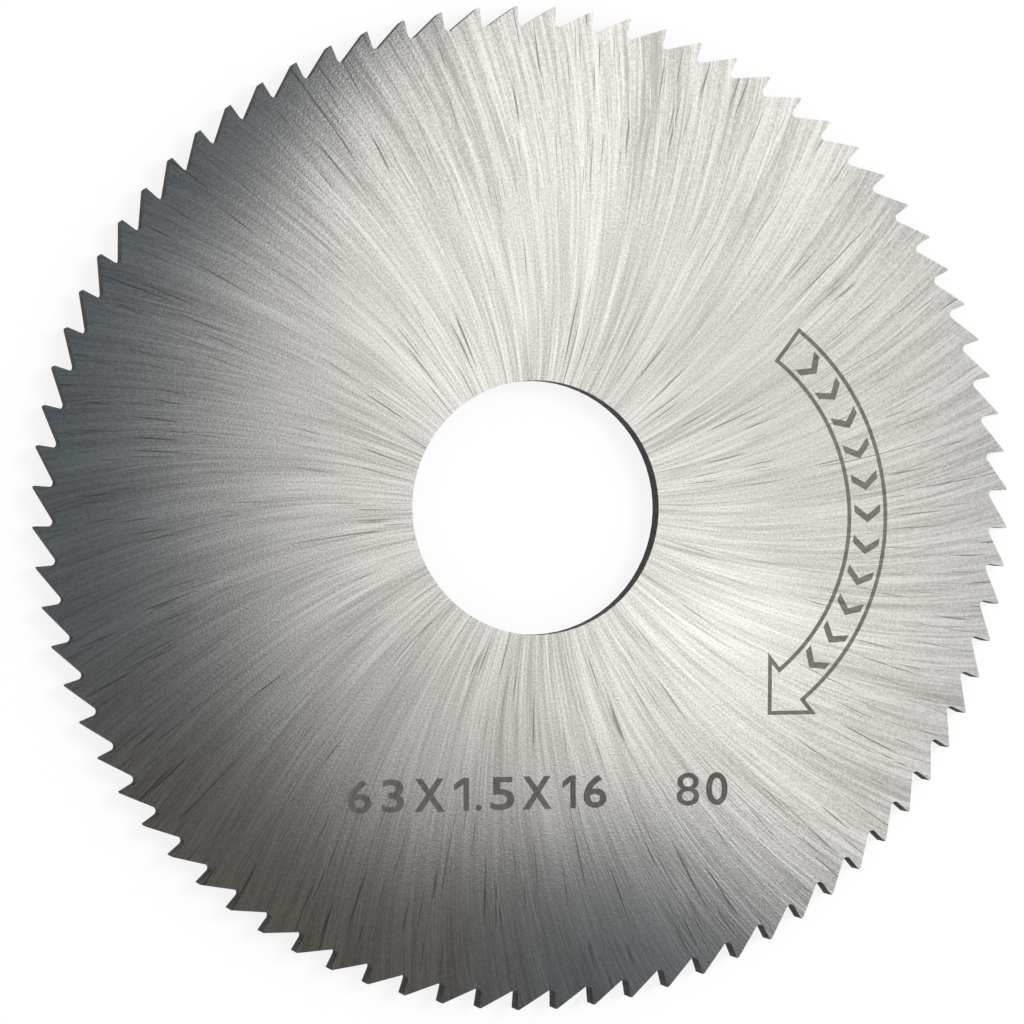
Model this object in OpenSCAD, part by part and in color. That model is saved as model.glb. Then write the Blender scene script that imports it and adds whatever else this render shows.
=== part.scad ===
// Slitting saw with fine teeth: a thin steel disc with hollow-ground sides and a plain arbor bore.
// It lies flat with the bore along Z, one tooth tip on +X, and cuts turning clockwise seen from above.

/* [Disc] */
// Diameter over the tooth tips
saw_d = 63; // [50:1:80]
// Width of the cut, the thickness at the rim
rim_t = 1.5; // [1:0.1:3]
// Diameter of the arbor bore
bore_d = 16; // [10:0.5:22]

/* [Hollow grind] */
// Diameter of the flat hub that the arbor's collars grip
hub_d = 32; // [25:0.5:40]
// How far each side of the hub lies below the rim
side_relief = 0.05; // [0.02:0.01:0.15]
// Width of the flat band between the gullets and the hollow grind
rim_band = 0.8; // [0.4:0.1:2]

/* [Teeth] */
// Number of teeth
tooth_count = 80; // [48:1:100]
// Height of a tooth above the floor of its gullet
tooth_h = 1.22; // [0.8:0.02:1.5]
// Rake of the cutting face
rake_angle = 2; // [0:0.5:8]
// Radius of the gullet's floor
gullet_r = 0.28; // [0.1:0.02:0.36]
// Width of the round-ground land behind each tooth tip
tip_land = 0.12; // [0.06:0.01:0.2]

/* [Hidden] */
$fn = 96;
saw_r = saw_d / 2;
root_r = saw_r - tooth_h;
band_r = root_r - rim_band;
pitch_angle = 360 / tooth_count;
land_angle = atan(tip_land / saw_r);
// Distance that the gullet cutter runs past the tips and past both sides
overrun = 1;

// The gullet is drawn about the centre of its floor, with +X away from the saw's axis.
floor_r = root_r + gullet_r;
face_lean = asin((gullet_r - saw_r * sin(rake_angle)) / floor_r);
// Turn from a tooth's tip back to the centre of the gullet in front of it
gullet_turn = -face_lean - rake_angle;
// Turn that puts the middle of one land on +X
tip_turn = -land_angle / 2;
face_foot = gullet_r * [-sin(face_lean), cos(face_lean)];
face_top = face_foot + (tooth_h + overrun) * [cos(face_lean), sin(face_lean)];
// End of the land on the tooth ahead, where its back begins
land_turn = land_angle - pitch_angle - gullet_turn;
land_end = saw_r * [cos(land_turn), sin(land_turn)] - [floor_r, 0];
// The back runs from there to touch the round floor
back_turn = atan2(land_end.y, land_end.x) - acos(gullet_r / norm(land_end));
back_foot = gullet_r * [cos(back_turn), sin(back_turn)];
back_top = land_end + tip_land / 2 * (land_end - back_foot) / norm(land_end - back_foot);
// Each cutter goes out over the middle of the land, clear of the next one
land_mid = land_turn - land_angle / 2;
back_out = (saw_r + overrun) * [cos(land_mid), sin(land_mid)] - [floor_r, 0];

// Half of the disc's section, from the bore out to the tips
module section() {
    polygon([
        [bore_d / 2, side_relief],
        [hub_d / 2, side_relief],
        [band_r, 0],
        [saw_r, 0],
        [saw_r, rim_t],
        [band_r, rim_t],
        [hub_d / 2, rim_t - side_relief],
        [bore_d / 2, rim_t - side_relief]
    ]);
}

// Space between two teeth
module gullet() {
    circle(r = gullet_r);
    polygon([face_foot, back_foot, back_top, back_out, face_top]);
}

module saw_blade() {
    color("silver")
    difference() {
        rotate_extrude()
        section();
        for (i = [0 : tooth_count - 1])
            rotate(i * pitch_angle + tip_turn + gullet_turn)
            translate([floor_r, 0, -overrun])
            linear_extrude(rim_t + 2 * overrun)
            gullet();
    }
}

saw_blade();
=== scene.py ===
"""Slitting saw: a ground steel blade with a turning arrow and a size mark, lying on a pale floor.

Laid out as a Blender add-on and run as a script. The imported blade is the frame, and the operators
give it its finish, put the marks on its upper face and set the stage.
"""
import math

import bpy
from mathutils import Matrix, Vector


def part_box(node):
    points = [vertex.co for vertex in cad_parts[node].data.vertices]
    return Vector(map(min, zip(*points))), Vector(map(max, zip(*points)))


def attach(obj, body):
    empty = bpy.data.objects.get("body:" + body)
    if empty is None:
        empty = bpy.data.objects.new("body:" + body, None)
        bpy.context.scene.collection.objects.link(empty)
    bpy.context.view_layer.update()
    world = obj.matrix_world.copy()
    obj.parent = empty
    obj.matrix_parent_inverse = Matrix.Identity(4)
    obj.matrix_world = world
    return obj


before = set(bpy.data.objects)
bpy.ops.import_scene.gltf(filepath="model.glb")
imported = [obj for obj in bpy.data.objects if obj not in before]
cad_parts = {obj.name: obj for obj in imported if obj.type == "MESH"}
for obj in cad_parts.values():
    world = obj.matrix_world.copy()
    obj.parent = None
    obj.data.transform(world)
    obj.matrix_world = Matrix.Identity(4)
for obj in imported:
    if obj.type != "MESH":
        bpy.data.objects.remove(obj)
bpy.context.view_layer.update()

bl_info = {
    "name": "Slitting saw",
    "version": (1, 0, 0),
    "blender": (4, 5, 0),
    "location": "View3D > Sidebar > Slitting saw",
    "description": "Dresses a slitting saw blade and sets it on a pale floor",
    "category": "Object",
}

MM = 0.001
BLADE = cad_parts["saw_blade"]
BLADE_LOW, BLADE_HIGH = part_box("saw_blade")
# Signs of the size mark, each with its middle along the row and its width in mm, and the share of the
# digit weight that thickens it
SIZE_ROW = {
    "size_numbers": (
        ("6", -10.68, 1.5, 1.0), ("3", -8.56, 1.43, 1.0), ("X", -6.22, 1.95, 1.7), ("1", -4.17, 0.97, 1.0),
        (".", -3.07, 0.38, 1.0), ("5", -1.54, 1.56, 1.0), ("X", 0.7, 1.89, 1.7), ("1", 2.79, 0.87, 1.0),
        ("6", 4.48, 1.5, 1.0),
    ),
    "tooth_number": (("8", 10.59, 1.5, 0.25), ("0", 12.51, 1.43, 1.0)),
}


def linear(hex_colour):
    """Scene-linear red, green and blue of an sRGB hex colour."""
    out = []
    for i in (1, 3, 5):
        c = int(hex_colour[i:i + 2], 16) / 255
        out.append(c / 12.92 if c <= 0.04045 else ((c + 0.055) / 1.055) ** 2.4)
    return tuple(out)


def length(label, words, mm):
    """A length property, given in millimetres."""
    return bpy.props.FloatProperty(
        name=label, description=words, default=mm * MM, unit="LENGTH", precision=5
    )


def position(label, words, *mm):
    """A place property, given in millimetres."""
    return bpy.props.FloatVectorProperty(
        name=label, description=words, default=[value * MM for value in mm],
        size=3, unit="LENGTH", subtype="XYZ",
    )


def angle(label, words, degrees):
    """An angle property, given in degrees."""
    return bpy.props.FloatProperty(
        name=label, description=words, default=math.radians(degrees), unit="ROTATION"
    )


def share(label, words, value, top=1.0):
    """A plain number property."""
    return bpy.props.FloatProperty(name=label, description=words, default=value, min=0.0, max=top)


def colour(label, words, hex_colour):
    """A colour property, given as sRGB hex."""
    return bpy.props.FloatVectorProperty(
        name=label, description=words, default=linear(hex_colour), subtype="COLOR", size=3, min=0.0, max=1.0
    )


class GrindSettings(bpy.types.PropertyGroup):
    """Finish of the blade."""

    wheel_r: length("Wheel radius", "Radius of the arcs that the grinding wheel left", 51.5)
    straight_r: length("Straight radius", "Where on the blade the lines run straight outwards", 10.0)
    inner_r: length("Inner radius", "Radius at which the inner lines have their width", 10.0)
    outer_r: length("Outer radius", "Radius at which the outer lines have their width", 25.0)
    change_from: length("Change from", "Radius from which the outer lines take over", 11.0)
    change_to: length("Change to", "Radius from which only the outer lines are left", 24.0)
    band_w: length("Band width", "Width of the broad light and dark bands", 2.2)
    band_l: length("Band length", "Length of the broad light and dark bands", 24.0)
    grain_w: length("Grain width", "Width of the plain grinding lines", 0.36)
    grain_l: length("Grain length", "Length of the plain grinding lines", 14.0)
    hair_w: length("Hair width", "Width of the finest lines", 0.12)
    hair_l: length("Hair length", "Length of the finest lines", 7.0)
    score_w: length("Score width", "Width of the few deep lines", 0.12)
    score_l: length("Score length", "Length of the few deep lines", 4.5)
    grit_w: length("Grit width", "Width of the pits that the wheel's grit leaves between the lines", 0.12)
    line_depth: length("Line depth", "Depth of the grinding lines", 0.0028)
    light: colour("Light", "Steel along the light lines", "#FFFEFC")
    dark: colour("Dark", "Steel along the dark lines", "#CAC8C5")
    score: colour("Score", "Steel in the deep lines", "#8A8683")
    # Painted shade: the wall colours are partly the hardening oxide and partly shade painted into the steel
    wall_oxide_and_shade: colour("Wall", "Hardened steel of the teeth's walls and the bore, darkened further by painted shade", "#302C29")
    wall_dark_oxide_and_shade: colour("Dark wall", "Same steel along its darker lines", "#151311")
    wall_line_w: length("Wall line width", "Width of the lines that run down the walls", 0.07)
    hub_roughness: share("Hub roughness", "Roughness of the ground face at the bore", 0.14)
    rim_roughness: share("Rim roughness", "Roughness of the ground face at the rim", 0.10)
    wall_roughness: share("Wall roughness", "Roughness of the walls", 0.8)
    wall_specular: share("Wall gloss", "Specular level of the walls' dull oxide", 0.25)
    anisotropy: share("Anisotropy", "How much the lines stretch the reflections", 0.4)


class MarkSettings(bpy.types.PropertyGroup):
    """Marks on the upper face."""

    line_w: length("Line width", "Width of the arrow's outline", 0.26)
    film_t: length("Film thickness", "Thickness of the dark oxide, half of it in the face", 0.008)
    # Painted sheen: the arrow's oxide is painted lighter than the numbers', for the bright reflection where
    # it lies on the blade
    arrow_oxide_and_sheen: colour("Arrow oxide and sheen", "Oxide of the arrow, lightened by a painted sheen", "#736D68")
    number_oxide: colour("Number oxide", "Dark oxide of the numbers", "#5A5552")
    above: length("Drawing height", "Height at which a mark is drawn before it is laid on the face", 3.0)
    centre_x: length("Arrow centre X", "Centre of the arrow's arcs", 8.2)
    centre_y: length("Arrow centre Y", "Centre of the arrow's arcs", -0.2)
    inner_r: length("Inner radius", "Inner arc of the arrow", 12.42)
    outer_r: length("Outer radius", "Outer arc of the arrow", 15.12)
    start: angle("Start", "Where the arrow's band begins", 55.0)
    end: angle("End", "Where the arrow's band meets its head", -48.7)
    tip_x: length("Tip X", "Tip of the arrow's head", 15.71)
    tip_y: length("Tip Y", "Tip of the arrow's head", -12.60)
    head_w: length("Head width", "Width of the arrow's head from barb to barb", 5.1)
    chevrons: bpy.props.IntProperty(name="Chevrons", description="Chevrons in the band", default=11, min=2)
    chevron_start: angle("First chevron", "Place of the first chevron on the band", 46.0)
    chevron_end: angle("Last chevron", "Place of the last chevron on the band", -40.0)
    chevron_h: length("Chevron height", "Height of a chevron across the band", 1.75)
    chevron_w: length("Chevron stroke", "Width of a chevron's stroke along the band", 0.5)
    digit_h: length("Digit height", "Height of the size mark's numbers", 2.08)
    bar_w: length("Bar width", "Width of the bar of a 1", 0.36)
    digit_bold: length("Digit weight", "Thickening of the numbers' strokes on each side", 0.035)
    row_y: length("Row", "Middle of the size mark below the bore", -17.91)
    row_turn: angle("Row turn", "Turn of the size mark", 2.55)


class StudioSettings(bpy.types.PropertyGroup):
    """Camera, floor and light."""

    eye: position("Camera", "Place of the camera", -60.99, -4.54, 233.14)
    aim: position("Aim", "Point that the camera looks at", -1.597, -0.344, 1.5)
    roll: angle("Roll", "Turn of the camera about its line of sight", 2.177)
    lens: bpy.props.FloatProperty(name="Lens", description="Focal length in mm", default=134.2)
    lamp: position("Lamp", "Place of the soft lamp", 347.0, 169.0, 460.0)
    lamp_w: length("Lamp width", "Width of the soft lamp", 250.0)
    lamp_power: share("Lamp power", "Power of the soft lamp in watts", 2.0, top=10.0)
    floor_r: length("Floor radius", "Radius of the floor", 4000.0)
    floor_gap: length("Floor gap", "How far the floor lies below the blade", 0.02)
    paper: colour("Paper", "Floor and backdrop", "#FFFFFF")
    bright: colour("Bright sky", "Light tent over the blade", "#FFFDF9")
    dim: colour("Dim sky", "Open side of the light tent, behind the camera", "#51595F")
    dim_front: colour("Dim front", "Front of the tent's open side", "#57534F")


def add(tree, kind, inputs, **settings):
    """Add one shader node, and fill its sockets with values or with other nodes' outputs."""
    node = tree.nodes.new("ShaderNode" + kind)
    for name, value in settings.items():
        setattr(node, name, value)
    for name, value in inputs.items():
        if isinstance(value, bpy.types.NodeSocket):
            tree.links.new(value, node.inputs[name])
        else:
            node.inputs[name].default_value = value
    return node.outputs


def new_material(name):
    """An empty material with its node tree."""
    material = bpy.data.materials.new(name)
    material.use_nodes = True
    material.node_tree.nodes.clear()
    return material, material.node_tree


def grind_lines(tree, grind, wanted):
    """Light and dark along the arcs that the wheel left, for each wanted kind of line.

    Returns these patterns by name with the place and radius in mm, the side of the blade and the way
    across the lines.
    """
    place = add(tree, "TexCoord", {})["Object"]
    place_mm = add(tree, "VectorMath", {0: place, 1: (1 / MM, 1 / MM, 1 / MM)}, operation="MULTIPLY")[0]
    flat = add(tree, "VectorMath", {0: place_mm, 1: (1, 1, 0)}, operation="MULTIPLY")[0]
    radius = add(tree, "VectorMath", {0: flat}, operation="LENGTH")["Value"]
    axes = add(tree, "SeparateXYZ", {0: place_mm})
    turn = add(tree, "Math", {0: axes["Y"], 1: axes["X"]}, operation="ARCTAN2")[0]
    middle = (BLADE_LOW.z + BLADE_HIGH.z) / 2 / MM
    height = add(tree, "Math", {0: axes["Z"], 1: middle}, operation="SUBTRACT")[0]
    side = add(tree, "Math", {0: height}, operation="SIGN")[0]

    # A line turns by (r + s * s / r) / 2w on its way out, for a wheel of radius w and lines straight at s
    wheel_d = 2 * grind.wheel_r / MM
    straight = grind.straight_r / MM
    inverse = add(tree, "Math", {0: straight * straight, 1: radius}, operation="DIVIDE")[0]
    twist_sum = add(tree, "Math", {0: radius, 1: inverse}, operation="ADD")[0]
    twist = add(tree, "Math", {0: twist_sum, 1: 1 / wheel_d}, operation="MULTIPLY")[0]
    side_twist = add(tree, "Math", {0: twist, 1: side}, operation="MULTIPLY")[0]
    line_turn = add(tree, "Math", {0: turn, 1: side_twist}, operation="SUBTRACT")[0]

    # The lines lean from the radius by (r - s * s / r) / 2w, and the reflections stretch across them
    lean_sum = add(tree, "Math", {0: radius, 1: inverse}, operation="SUBTRACT")[0]
    lean = add(tree, "Math", {0: lean_sum, 1: 1 / wheel_d}, operation="MULTIPLY")[0]
    side_lean = add(tree, "Math", {0: lean, 1: side}, operation="MULTIPLY")[0]
    line_way = add(tree, "Math", {0: turn, 1: side_lean}, operation="ADD")[0]
    way_sin = add(tree, "Math", {0: line_way}, operation="SINE")[0]
    way_back = add(tree, "Math", {0: way_sin, 1: -1.0}, operation="MULTIPLY")[0]
    way_cos = add(tree, "Math", {0: line_way}, operation="COSINE")[0]
    across = add(tree, "CombineXYZ", {"X": way_back, "Y": way_cos})[0]

    # Each kind has its width, its length, its detail and its skew, in radians for each mm outwards
    kinds = {
        "band": (grind.band_w, grind.band_l, 1.0, 0.0),
        "grain": (grind.grain_w, grind.grain_l, 2.0, 0.001),
        "hair": (grind.hair_w, grind.hair_l, 1.0, -0.001),
        "deep": (grind.score_w, grind.score_l, 0.0, 0.004),
        "glint": (grind.score_w, grind.score_l, 0.0, -0.003),
    }
    # Distance between the kinds in the noise, so that they don't repeat each other
    apart = 31.7
    # Lines fan out on their way, so new ones take over half-way
    outwards = add(tree, "MapRange", {
        "Value": radius, "From Min": grind.change_from / MM, "From Max": grind.change_to / MM,
    }, interpolation_type="SMOOTHSTEP")[0]
    lines = {}
    for seed, (name, (width, reach, detail, skew)) in enumerate(kinds.items()):
        if name not in wanted:
            continue
        skewed = add(tree, "Math", {0: radius, 1: skew, 2: line_turn}, operation="MULTIPLY_ADD")[0]
        line_cos = add(tree, "Math", {0: skewed}, operation="COSINE")[0]
        line_sin = add(tree, "Math", {0: skewed}, operation="SINE")[0]
        along = add(tree, "CombineXYZ", {"X": line_cos, "Y": line_sin, "Z": radius})[0]
        sets = []
        for spread_r in (grind.inner_r, grind.outer_r):
            cells = spread_r / width
            shift = (0, 0, apart * seed + spread_r / MM)
            cell = add(tree, "VectorMath", {0: along, 1: (cells, cells, MM / reach), 2: shift},
                       operation="MULTIPLY_ADD")[0]
            sets.append(add(tree, "TexNoise", {"Vector": cell, "Scale": 1.0, "Detail": detail})[0])
        lines[name] = add(tree, "Mix", {0: outwards, 2: sets[0], 3: sets[1]})[0]
    return lines, place_mm, radius, side, across


def ground_steel(grind):
    """High-speed steel, surface-ground with a cup wheel on both sides.

    The wheel leaves fine arcs from the bore to the rim, light and dark, which stretch every
    reflection across themselves. The cut walls are dark, partly from hardening and partly by painted shade.
    """
    material, tree = new_material("ground high-speed steel")
    wanted = ("band", "grain", "hair", "deep", "glint")
    lines, place_mm, radius, side, across = grind_lines(tree, grind, wanted)
    grit_scale = MM / grind.grit_w
    lines["grit"] = add(tree, "TexNoise", {"Vector": place_mm, "Scale": grit_scale, "Detail": 1.0})[0]
    tone = 0.0
    for name, weight in (("band", 0.17), ("grain", 0.25), ("hair", 0.30), ("grit", 0.28)):
        tone = add(tree, "Math", {0: lines[name], 1: weight, 2: tone}, operation="MULTIPLY_ADD")[0]
    lightness = add(tree, "MapRange", {"Value": tone, "From Min": 0.40, "From Max": 0.60})[0]
    dark = (*grind.dark, 1)
    light = (*grind.light, 1)
    face = add(tree, "Mix", {0: lightness, 6: dark, 7: light}, data_type="RGBA")[2]

    # Only the peaks of their noise are deep lines and glints, so these are few
    for name, colour_there, peak in (("deep", (*grind.score, 1), 0.70), ("glint", light, 0.68)):
        there = add(tree, "MapRange", {
            "Value": lines[name], "From Min": peak, "From Max": 0.80, "To Max": 0.8,
        })[0]
        face = add(tree, "Mix", {0: there, 6: face, 7: colour_there}, data_type="RGBA")[2]

    # Walls are the faces that don't look up or down, and their lines run through the thickness
    least_level = 0.5
    normal = add(tree, "NewGeometry", {})["Normal"]
    upright = add(tree, "SeparateXYZ", {0: normal})["Z"]
    levelness = add(tree, "Math", {0: upright}, operation="ABSOLUTE")[0]
    on_face = add(tree, "Math", {0: levelness, 1: least_level}, operation="GREATER_THAN")[0]
    across_w = MM / grind.wall_line_w
    down = 0.3
    wall_cell = add(tree, "VectorMath", {0: place_mm, 1: (across_w, across_w, down)}, operation="MULTIPLY")[0]
    wall_line = add(tree, "TexNoise", {"Vector": wall_cell, "Scale": 1.0, "Detail": 1.0})[0]
    wall_tone = add(tree, "MapRange", {"Value": wall_line, "From Min": 0.3, "From Max": 0.7})[0]
    # Painted shade: the walls are coloured partly as hardening oxide and partly with the shade they lie in
    wall_dark_oxide_and_shade = (*grind.wall_dark_oxide_and_shade, 1)
    wall_oxide_and_shade = add(tree, "Mix", {0: wall_tone, 6: wall_dark_oxide_and_shade, 7: (*grind.wall_oxide_and_shade, 1)}, data_type="RGBA")[2]
    base = add(tree, "Mix", {0: on_face, 6: wall_oxide_and_shade, 7: face}, data_type="RGBA")[2]

    # Light lines are a little smoother than dark ones
    face_gain = 0.02
    wall_gain = 0.15
    bore_mm = 8.0
    rim_mm = 31.0
    even_rough = add(tree, "MapRange", {
        "Value": radius, "From Min": bore_mm, "From Max": rim_mm,
        "To Min": grind.hub_roughness, "To Max": grind.rim_roughness,
    })[0]
    face_rough = add(tree, "Math", {0: lightness, 1: -face_gain, 2: even_rough}, operation="MULTIPLY_ADD")[0]
    wall_even = grind.wall_roughness
    wall_rough = add(tree, "Math", {0: wall_tone, 1: -wall_gain, 2: wall_even}, operation="MULTIPLY_ADD")[0]
    rough = add(tree, "Mix", {0: on_face, 2: wall_rough, 3: face_rough})[0]

    # The hollow sides count as level, so that their facets don't show in the reflections
    relief = add(tree, "Mix", {0: on_face, 2: wall_line, 3: tone})[0]
    level = add(tree, "CombineXYZ", {"Z": side})[0]
    flat = add(tree, "Mix", {0: on_face, 4: normal, 5: level}, data_type="VECTOR")[1]
    depth = grind.line_depth
    bump = add(tree, "Bump", {"Height": relief, "Distance": depth, "Strength": 1.0, "Normal": flat})[0]
    shader = add(tree, "BsdfPrincipled", {
        "Base Color": base, "Metallic": on_face, "Roughness": rough, "Anisotropic": grind.anisotropy,
        "Tangent": across, "Normal": bump, "Specular IOR Level": grind.wall_specular,
    })[0]
    add(tree, "OutputMaterial", {"Surface": shader})
    return material


def laser_oxide(name, oxide, grind):
    """Steel darkened by a marking laser: a thin warm-grey oxide that the grinding lines show through."""
    material, tree = new_material(name)
    lines, place_mm = grind_lines(tree, grind, ("grain", "hair"))[:2]
    fleck_mm = 0.25
    fleck = add(tree, "TexNoise", {"Vector": place_mm, "Scale": 1 / fleck_mm, "Detail": 2.0})[0]
    tone = 0.0
    for pattern, weight in ((lines["grain"], 0.4), (lines["hair"], 0.3), (fleck, 0.3)):
        tone = add(tree, "Math", {0: pattern, 1: weight, 2: tone}, operation="MULTIPLY_ADD")[0]
    lightness = add(tree, "MapRange", {"Value": tone, "From Min": 0.35, "From Max": 0.65})[0]
    contrast = 0.4
    dark = tuple(c * (1 - contrast) for c in oxide)
    light = tuple(c * (1 + contrast) for c in oxide)
    base = add(tree, "Mix", {0: lightness, 6: (*dark, 1), 7: (*light, 1)}, data_type="RGBA")[2]
    rough = add(tree, "MapRange", {"Value": lightness, "To Min": 0.6, "To Max": 0.45})[0]
    shader = add(tree, "BsdfPrincipled", {"Base Color": base, "Roughness": rough})[0]
    add(tree, "OutputMaterial", {"Surface": shader})
    return material


def white_paper(studio):
    """Seamless matt paper, white to the camera and in reflections, with the object's shadow on it."""
    material, tree = new_material("white paper")
    matt = add(tree, "BsdfDiffuse", {"Color": (*studio.paper, 1)})[0]
    glow = add(tree, "Emission", {"Color": (*studio.paper, 1), "Strength": 1.0})[0]
    rays = add(tree, "LightPath", {})
    seen = add(tree, "Math", {0: rays["Is Camera Ray"], 1: rays["Is Glossy Ray"]}, operation="MAXIMUM")[0]
    seen = add(tree, "Math", {0: seen, 1: rays["Is Transmission Ray"]}, operation="MAXIMUM")[0]
    glow_share = 0.85
    lift = add(tree, "Math", {0: seen, 1: glow_share}, operation="MULTIPLY")[0]
    shader = add(tree, "MixShader", {0: lift, 1: matt, 2: glow})[0]
    add(tree, "OutputMaterial", {"Surface": shader})
    return material


def light_tent(studio):
    """A pale tent all round, with one dim side overhead where the camera stands.

    The blade mirrors what is overhead. Places there are told by how far a way leans to the right and to
    the back for each unit that it rises, and levels are shares of the bright sky.
    """
    world = bpy.data.worlds.new("light tent")
    world.use_nodes = True
    tree = world.node_tree
    tree.nodes.clear()
    lowest_rise = 0.05
    way = add(tree, "SeparateXYZ", {0: add(tree, "TexCoord", {})["Generated"]})
    rise = add(tree, "Math", {0: way["Z"], 1: lowest_rise}, operation="MAXIMUM")[0]
    right = add(tree, "Math", {0: way["X"], 1: rise}, operation="DIVIDE")[0]
    back = add(tree, "Math", {0: way["Y"], 1: rise}, operation="DIVIDE")[0]

    # On the right the dim side ends at a curve, which is sharper at the back
    curve_lean = 0.405
    curve_bend = -3.95
    sharpens = {"From Min": 0.077, "From Max": 0.099}
    bow = add(tree, "Math", {0: back, 1: curve_bend, 2: curve_lean}, operation="MULTIPLY_ADD")[0]
    curve = add(tree, "Math", {0: back, 1: bow, 2: right}, operation="MULTIPLY_ADD")[0]
    foot = add(tree, "MapRange", {"Value": back, **sharpens, "To Min": 0.150, "To Max": 0.189})[0]
    top = add(tree, "MapRange", {"Value": back, **sharpens, "To Min": 0.242, "To Max": 0.205})[0]
    past_curve = add(tree, "MapRange", {"Value": curve, "From Min": foot, "From Max": top},
                     interpolation_type="SMOOTHSTEP")[0]

    # At the front it ends at two straight edges, each with its slant and where it begins and ends
    edges = ((right, -0.27, back, -0.151, -0.121), (back, 1.39, right, 0.205, 0.239))
    past_front = 0.0
    for slanted, slant, straight, start, end in edges:
        edge = add(tree, "Math", {0: slanted, 1: slant, 2: straight}, operation="MULTIPLY_ADD")[0]
        past_edge = add(tree, "MapRange", {"Value": edge, "From Min": start, "From Max": end},
                        interpolation_type="SMOOTHSTEP")[0]
        past_front = add(tree, "Math", {0: past_edge, 1: past_front}, operation="MAXIMUM")[0]
    overhead = add(tree, "Math", {0: past_curve, 1: past_front}, operation="MULTIPLY")[0]

    # The bright middle falls off to the right. Left of what the camera sees mirrored the tent closes again,
    # so that the blade is light from straight above
    right_level = 0.577
    left_level = 0.7
    fall = add(tree, "MapRange", {
        "Value": right, "From Min": 0.316, "From Max": 0.409, "To Min": 1.0, "To Max": right_level,
    }, interpolation_type="SMOOTHSTEP")[0]
    overhead = add(tree, "Math", {0: overhead, 1: fall}, operation="MULTIPLY")[0]
    closed = add(tree, "MapRange", {"Value": right, "From Min": 0.10, "From Max": 0.01},
                 interpolation_type="SMOOTHSTEP")[0]
    overhead = add(tree, "Mix", {0: closed, 2: overhead, 3: left_level})[0]

    # Round the sides the tent is brightest at the right and back, and white again along the floor
    brightest = (0.9, 0.44, 0)
    level = add(tree, "CombineXYZ", {"X": way["X"], "Y": way["Y"]})[0]
    round_way = add(tree, "VectorMath", {0: level}, operation="NORMALIZE")[0]
    facing = add(tree, "VectorMath", {0: round_way, 1: brightest}, operation="DOT_PRODUCT")["Value"]
    sides = add(tree, "MapRange", {"Value": facing, "From Min": -1.0, "To Min": 0.45, "To Max": 0.9})[0]
    skirting = add(tree, "MapRange", {"Value": way["Z"], "From Min": 0.12, "From Max": 0.04})[0]
    sides = add(tree, "Mix", {0: skirting, 2: sides, 3: 1.0})[0]
    low = add(tree, "MapRange", {"Value": way["Z"], "From Min": 0.93, "From Max": 0.75},
              interpolation_type="SMOOTHSTEP")[0]
    lit = add(tree, "Mix", {0: low, 2: overhead, 3: sides})[0]

    # The dim side is cool, and warm at its front left
    front = add(tree, "MapRange", {"Value": back, "From Min": 0.0, "From Max": -0.07})[0]
    left = add(tree, "MapRange", {"Value": right, "From Min": 0.28, "From Max": 0.24})[0]
    front_left = add(tree, "Math", {0: front, 1: left}, operation="MULTIPLY")[0]
    cool = (*studio.dim, 1)
    warm = (*studio.dim_front, 1)
    dim = add(tree, "Mix", {0: front_left, 6: cool, 7: warm}, data_type="RGBA")[2]
    sky = add(tree, "Mix", {0: lit, 6: dim, 7: (*studio.bright, 1)}, data_type="RGBA")[2]

    # Where the hub mirrors it the tent's panels are uneven, which gives the hub its fan of light and shade.
    # Each wave round the fan has its number of dark panels, the degrees of the first one and its depth
    hub_lean = (0.263, 0.0194, 0)
    fan_w = 0.0475
    fade_at_w = 0.37
    waves = ((2, 45.7, 0.55), (3, 25.9, 0.75))
    spot = add(tree, "CombineXYZ", {"X": right, "Y": back})[0]
    fan = add(tree, "Mapping", {"Vector": spot, "Location": hub_lean, "Scale": (fan_w, fan_w, 1)},
              vector_type="TEXTURE")[0]
    fan_axes = add(tree, "SeparateXYZ", {0: fan})
    fan_turn = add(tree, "Math", {0: fan_axes["Y"], 1: fan_axes["X"]}, operation="ARCTAN2")[0]
    fan_square = add(tree, "VectorMath", {0: fan, 1: fan}, operation="DOT_PRODUCT")["Value"]
    fade = add(tree, "Math", {0: fade_at_w, 1: fan_square}, operation="POWER")[0]
    swell = add(tree, "Math", {0: fan_square, 1: fade}, operation="MULTIPLY")[0]
    shade = 0.0
    for panels, first, depth in waves:
        start = -math.radians(panels * first)
        phase = add(tree, "Math", {0: fan_turn, 1: panels, 2: start}, operation="MULTIPLY_ADD")[0]
        wave = add(tree, "Math", {0: phase}, operation="COSINE")[0]
        shade = add(tree, "Math", {0: wave, 1: -depth, 2: shade}, operation="MULTIPLY_ADD")[0]
    strength = add(tree, "Math", {0: shade, 1: swell, 2: 1.0}, operation="MULTIPLY_ADD")[0]
    glow = add(tree, "Background", {"Color": sky, "Strength": strength})[0]
    add(tree, "OutputWorld", {"Surface": glow})
    return world


class SLITTING_SAW_OT_grind(bpy.types.Operator):
    """Give the blade its ground steel"""

    bl_idname = "slitting_saw.grind"
    bl_label = "Grind the blade"

    def execute(self, context):
        steel = ground_steel(context.scene.saw_grind)
        for material_slot in BLADE.material_slots:
            material_slot.material = steel
        return {"FINISHED"}


def pick(piece, test):
    """In edit mode, select the points of a piece that pass a test, and only those."""
    bpy.ops.mesh.select_mode(type="VERT")
    bpy.ops.mesh.select_all(action="DESELECT")
    bpy.ops.object.mode_set(mode="OBJECT")
    for point in piece.data.vertices:
        point.select = test(point.co)
    bpy.ops.object.mode_set(mode="EDIT")


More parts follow.
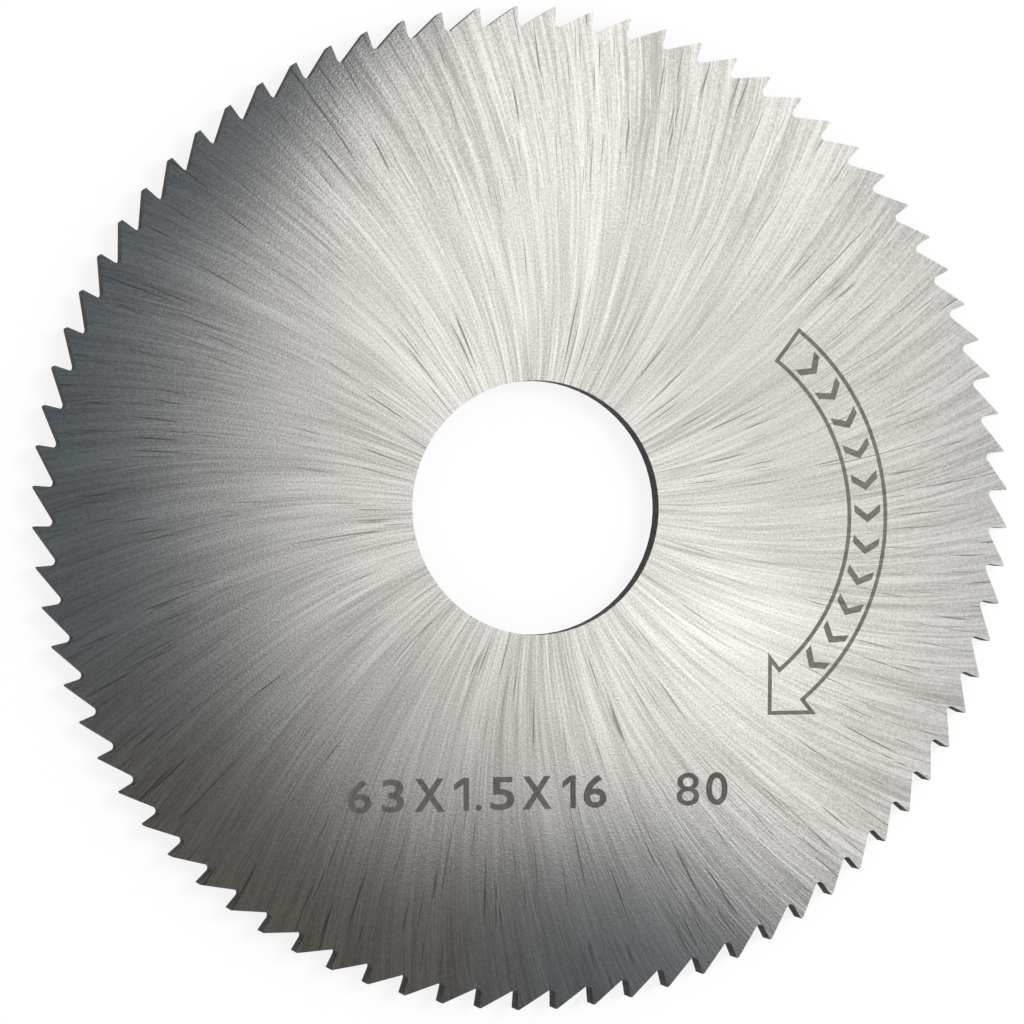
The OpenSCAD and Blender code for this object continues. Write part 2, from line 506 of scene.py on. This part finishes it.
def lay_film(piece, name, marks, oxide):
    """Lay a flat mark on the hollow-ground face as a thin film that rides on the blade."""
    piece.name = name
    bpy.ops.object.transform_apply(location=True, rotation=True, scale=True)
    bpy.ops.object.modifier_add(type="SHRINKWRAP")
    wrap = piece.modifiers[-1]
    wrap.target = BLADE
    wrap.wrap_method = "PROJECT"
    wrap.use_project_z = True
    wrap.use_positive_direction = False
    wrap.use_negative_direction = True
    bpy.ops.object.modifier_apply(modifier=wrap.name)
    bpy.ops.object.modifier_add(type="SOLIDIFY")
    film = piece.modifiers[-1]
    film.thickness = marks.film_t
    film.offset = 0
    bpy.ops.object.modifier_apply(modifier=film.name)
    bpy.ops.object.shade_flat()
    piece.data.materials.clear()
    piece.data.materials.append(oxide)
    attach(piece, "root")


class SLITTING_SAW_OT_arrow(bpy.types.Operator):
    """Mark the turning arrow, an outline with a row of chevrons in it"""

    bl_idname = "slitting_saw.arrow"
    bl_label = "Mark the arrow"

    def execute(self, context):
        marks = context.scene.saw_marks
        # The arrow's oxide colour holds a painted sheen
        oxide = laser_oxide("laser oxide with painted sheen", marks.arrow_oxide_and_sheen, context.scene.saw_grind)
        centre = Vector((marks.centre_x, marks.centre_y, marks.above))
        band_w = marks.outer_r - marks.inner_r
        band_r = (marks.outer_r + marks.inner_r) / 2

        # One edge across the band, swept about the centre of the arcs from its start to the head
        arc_steps = 40
        bpy.ops.mesh.primitive_plane_add(size=band_w, location=(band_r, -band_w / 2, 0))
        outline = context.object
        bpy.ops.object.transform_apply(location=True)
        outline.rotation_euler.z = marks.start
        bpy.ops.object.transform_apply(rotation=True)
        start = Matrix.Rotation(-marks.start, 3, "Z")
        bpy.ops.object.mode_set(mode="EDIT")
        pick(outline, lambda co: (start @ co).y < -band_w / 2)
        bpy.ops.mesh.delete(type="VERT")
        bpy.ops.mesh.select_all(action="SELECT")
        bpy.ops.mesh.spin(
            steps=arc_steps, angle=marks.start - marks.end, center=(0, 0, 0), axis=(0, 0, 1)
        )

        # The head is the last edge drawn out to the barbs and then to a point
        neck = Matrix.Rotation(marks.end, 3, "Z") @ Vector((band_r, 0, 0))
        tip = Vector((marks.tip_x, marks.tip_y, 0)) - Vector((marks.centre_x, marks.centre_y, 0))
        spread = marks.head_w / band_w
        bpy.ops.mesh.extrude_region_move()
        bpy.ops.transform.resize(value=(spread, spread, 1), center_override=neck)
        bpy.ops.mesh.extrude_region_move(TRANSFORM_OT_translate={"value": tip - neck})
        bpy.ops.mesh.merge(type="CENTER")
        bpy.ops.mesh.select_all(action="SELECT")
        bpy.ops.mesh.dissolve_faces()
        bpy.ops.mesh.select_all(action="SELECT")
        bpy.ops.mesh.inset(thickness=marks.line_w, use_even_offset=True)
        bpy.ops.mesh.delete(type="FACE")
        bpy.ops.mesh.select_all(action="SELECT")
        bpy.ops.mesh.normals_make_consistent(inside=False)
        bpy.ops.object.mode_set(mode="OBJECT")
        outline.location = centre
        lay_film(outline, "arrow_outline", marks, oxide)

        # One chevron points along the band, and the rest are copies swept about the same centre
        half = marks.chevron_h / 2
        dip = 0.75 * half
        bpy.ops.object.select_all(action="DESELECT")
        bpy.ops.mesh.primitive_plane_add(size=1)
        row = context.object
        row.scale = (half, marks.chevron_w, 1)
        bpy.ops.object.transform_apply(scale=True)
        bpy.ops.object.mode_set(mode="EDIT")
        pick(row, lambda co: co.x > 0)
        bpy.ops.mesh.extrude_region_move(TRANSFORM_OT_translate={"value": (half, 0, 0)})
        pick(row, lambda co: abs(co.x - half / 2) < half / 4)
        bpy.ops.transform.translate(value=(0, -dip, 0))
        bpy.ops.object.mode_set(mode="OBJECT")
        row.location = (band_r - half / 2, dip / 2, 0)
        bpy.ops.object.transform_apply(location=True)
        row.rotation_euler.z = marks.chevron_start
        bpy.ops.object.transform_apply(rotation=True)
        bpy.ops.object.mode_set(mode="EDIT")
        bpy.ops.mesh.select_all(action="SELECT")
        bpy.ops.mesh.spin(
            steps=marks.chevrons - 1, dupli=True, angle=marks.chevron_start - marks.chevron_end,
            center=(0, 0, 0), axis=(0, 0, 1),
        )
        bpy.ops.mesh.select_all(action="SELECT")
        bpy.ops.mesh.normals_make_consistent(inside=False)
        bpy.ops.object.mode_set(mode="OBJECT")
        row.location = centre
        lay_film(row, "arrow_chevrons", marks, oxide)
        return {"FINISHED"}


def flat_sign(context, sign, width, weight, marks):
    """One number or sign of the size mark, drawn flat about the middle of its row."""
    bpy.ops.object.select_all(action="DESELECT")
    bpy.ops.object.text_add()
    drawn = context.object
    drawn.data.body = sign
    drawn.data.size = marks.digit_h
    drawn.data.offset = weight * marks.digit_bold
    bpy.ops.object.convert(target="MESH")
    drawn = context.object
    bpy.ops.object.origin_set(type="ORIGIN_GEOMETRY", center="BOUNDS")
    tall = width if sign == "." else marks.digit_h
    wide = marks.bar_w if sign == "1" else width
    drawn.scale = (wide / drawn.dimensions.x, tall / drawn.dimensions.y, 1)
    drawn.location = (0, (tall - marks.digit_h) / 2, 0)
    bpy.ops.object.transform_apply(location=True, scale=True)
    bpy.ops.object.mode_set(mode="EDIT")
    bpy.ops.mesh.select_all(action="SELECT")
    bpy.ops.mesh.remove_doubles(threshold=marks.film_t / 4)
    bpy.ops.mesh.delete_loose()
    bpy.ops.object.mode_set(mode="OBJECT")
    if sign == "1":
        # The upper end of the bar's left edge is drawn out into a flag
        flag_foot = 0.3 * marks.digit_h
        flag_drop = 0.19 * marks.digit_h
        bpy.ops.object.mode_set(mode="EDIT")
        bpy.ops.mesh.select_all(action="SELECT")
        bpy.ops.mesh.bisect(plane_co=(0, flag_foot, 0), plane_no=(0, 1, 0))
        pick(drawn, lambda co: co.x < -0.45 * wide and co.y > 0.9 * flag_foot)
        bpy.ops.mesh.extrude_region_move(TRANSFORM_OT_translate={"value": (wide - width, -flag_drop, 0)})
        bpy.ops.mesh.select_all(action="SELECT")
        bpy.ops.mesh.normals_make_consistent(inside=False)
        bpy.ops.object.mode_set(mode="OBJECT")
        drawn.location = ((width - wide) / 2, 0, 0)
        bpy.ops.object.transform_apply(location=True)
    return drawn


class SLITTING_SAW_OT_numbers(bpy.types.Operator):
    """Mark the size: diameter, width and bore in millimetres, then the number of teeth"""

    bl_idname = "slitting_saw.numbers"
    bl_label = "Mark the size"

    def execute(self, context):
        marks = context.scene.saw_marks
        # The numbers' oxide is darker than the arrow's only because the arrow's carries a painted sheen
        oxide = laser_oxide("dark laser oxide of the numbers", marks.number_oxide, context.scene.saw_grind)
        for name, signs in SIZE_ROW.items():
            row = []
            for sign, middle, width, weight in signs:
                drawn = flat_sign(context, sign, width * MM, weight, marks)
                drawn.location.x = middle * MM
                bpy.ops.object.transform_apply(location=True)
                row.append(drawn)
            for drawn in row:
                drawn.select_set(True)
            bpy.ops.object.join()
            number = context.object
            number.rotation_euler.z = marks.row_turn
            number.location = (0, marks.row_y, marks.above)
            lay_film(number, name, marks, oxide)
        return {"FINISHED"}


class SLITTING_SAW_OT_stage(bpy.types.Operator):
    """Lay the floor, light it and place the camera"""

    bl_idname = "slitting_saw.stage"
    bl_label = "Set the stage"

    def execute(self, context):
        studio = context.scene.saw_studio
        bpy.ops.mesh.primitive_circle_add(
            vertices=64, radius=studio.floor_r, fill_type="NGON", location=(0, 0, -studio.floor_gap)
        )
        floor = context.object
        floor.name = "floor"
        floor.data.materials.append(white_paper(studio))
        context.scene.world = light_tent(studio)

        # Mirrored, the lamp would burn the blade out, so it lights only what is matt
        bpy.ops.object.light_add(type="AREA", location=studio.lamp)
        lamp = context.object
        lamp.name = "soft lamp"
        lamp.data.size = studio.lamp_w
        lamp.data.energy = studio.lamp_power
        lamp.visible_glossy = False
        lamp.rotation_euler = (-lamp.location).to_track_quat("-Z", "Y").to_euler()

        bpy.ops.object.camera_add()
        camera = context.object
        camera.name = "photo camera"
        camera.data.lens = studio.lens
        camera.data.sensor_width = 36
        camera.data.clip_start = 0.01
        eye = Vector(studio.eye)
        forward = (Vector(studio.aim) - eye).normalized()
        upright = Vector((-math.sin(studio.roll), math.cos(studio.roll), 0))
        right = forward.cross(upright).normalized()
        up = right.cross(forward)
        turn = Matrix((right, up, -forward)).transposed().to_4x4()
        camera.matrix_world = Matrix.Translation(eye) @ turn
        context.scene.camera = camera
        context.scene.view_settings.view_transform = "Standard"
        return {"FINISHED"}


class SLITTING_SAW_PT_panel(bpy.types.Panel):
    """Steps that dress the saw, with their settings"""

    bl_idname = "SLITTING_SAW_PT_panel"
    bl_label = "Slitting saw"
    bl_space_type = "VIEW_3D"
    bl_region_type = "UI"
    bl_category = "Slitting saw"

    def draw(self, context):
        for step in STEPS:
            self.layout.operator(step.bl_idname)
        for name in SETTINGS:
            group = getattr(context.scene, name)
            box = self.layout.box()
            for key in group.__annotations__:
                box.prop(group, key)


STEPS = (SLITTING_SAW_OT_grind, SLITTING_SAW_OT_arrow, SLITTING_SAW_OT_numbers, SLITTING_SAW_OT_stage)
SETTINGS = {"saw_grind": GrindSettings, "saw_marks": MarkSettings, "saw_studio": StudioSettings}
CLASSES = (*SETTINGS.values(), *STEPS, SLITTING_SAW_PT_panel)


def register():
    """Make the settings, steps and panel known to Blender."""
    for cls in CLASSES:
        bpy.utils.register_class(cls)
    for name, group in SETTINGS.items():
        setattr(bpy.types.Scene, name, bpy.props.PointerProperty(type=group))


def unregister():
    """Take them out again."""
    for name in SETTINGS:
        delattr(bpy.types.Scene, name)
    for cls in reversed(CLASSES):
        bpy.utils.unregister_class(cls)


def main():
    """Dress the saw, mark its arrow and size, and set the stage."""
    register()
    bpy.ops.object.select_all(action="DESELECT")
    bpy.ops.slitting_saw.grind()
    bpy.ops.slitting_saw.arrow()
    bpy.ops.slitting_saw.numbers()
    bpy.ops.slitting_saw.stage()


if __name__ == "__main__":
    main()
